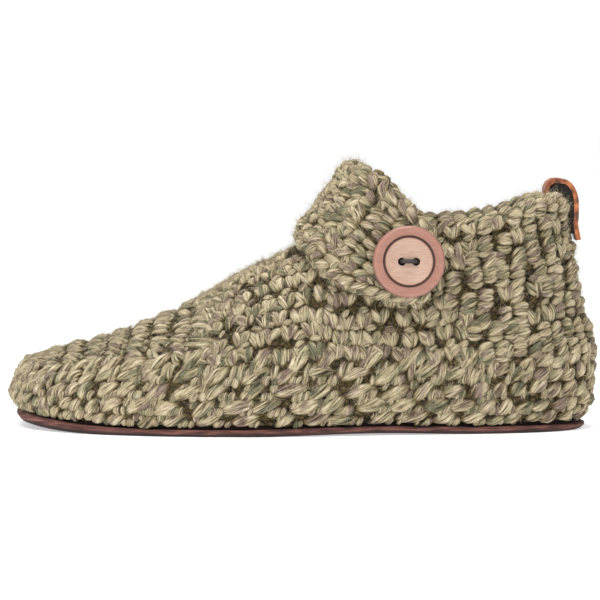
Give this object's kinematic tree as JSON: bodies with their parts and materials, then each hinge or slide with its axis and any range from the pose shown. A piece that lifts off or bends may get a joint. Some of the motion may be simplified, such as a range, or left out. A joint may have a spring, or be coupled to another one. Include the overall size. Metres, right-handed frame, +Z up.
{
  "type": "crocheted slipper",
  "caption": "Low crocheted slipper bootie with a buttoned instep strap, thin leather sole and heel pull loop.",
  "frame": {"origin": "on the floor, below the middle of the slipper's box", "axes": "+X towards the heel, -Y towards the outer side that has the button, +Z up"},
  "size_m": [0.252, 0.101, 0.1151],
  "materials": {
    "crochet_yarn": "matte heathered wool, crocheted",
    "sole_leather": "matte suede",
    "insole_felt": "matte felt",
    "button_wood": "satin",
    "button_thread": "matte",
    "loop_leather": "satin"
  },
  "bodies": {
    "root": {"upper": "crochet_yarn", "instep_strap": "crochet_yarn", "outsole": "sole_leather", "insole": "insole_felt", "button": "button_wood", "button_thread": "button_thread", "heel_loop": "loop_leather"}
  },
  "joints": []
}
